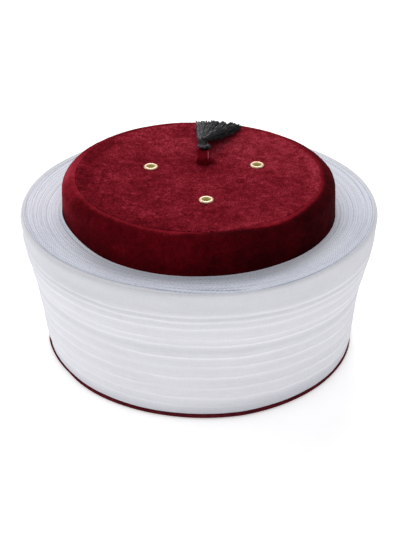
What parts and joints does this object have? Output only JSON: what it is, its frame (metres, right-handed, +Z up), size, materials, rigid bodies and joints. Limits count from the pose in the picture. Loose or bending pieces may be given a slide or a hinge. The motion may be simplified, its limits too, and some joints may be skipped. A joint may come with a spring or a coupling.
{
  "type": "prayer cap",
  "caption": "Velvet fez-shaped prayer cap with a white pleated turban cloth wound round it, brass eyelets in its flat top and a small black tassel on a velvet stem.",
  "frame": {"origin": "centre of the lower rim, on the surface that the cap stands on", "axes": "+Z up along the axis of the crown, -Y towards the front of the cap, +X to its right as seen from the front"},
  "size_m": [0.2272, 0.2272, 0.1333],
  "materials": {
    "velvet_top": "crushed velvet nap",
    "velvet_side": "crushed velvet nap",
    "velvet_binding": "velvet bias binding",
    "white_wrap": "fine woven cotton, pleated",
    "white_turns": "fine woven cotton, wound edge-on",
    "eyelet_brass": "polished",
    "tassel_yarn": "soft twisted yarn"
  },
  "bodies": {
    "root": {"rim_binding": "velvet_binding", "crown_side": "velvet_side", "crown_top": "velvet_top", "wound_turns": "white_turns", "pleated_wrap": "white_wrap", "eyelet_left": "eyelet_brass", "eyelet_right": "eyelet_brass", "eyelet_front": "eyelet_brass", "tassel_stem": "velvet_side", "tassel": "tassel_yarn"}
  },
  "joints": []
}
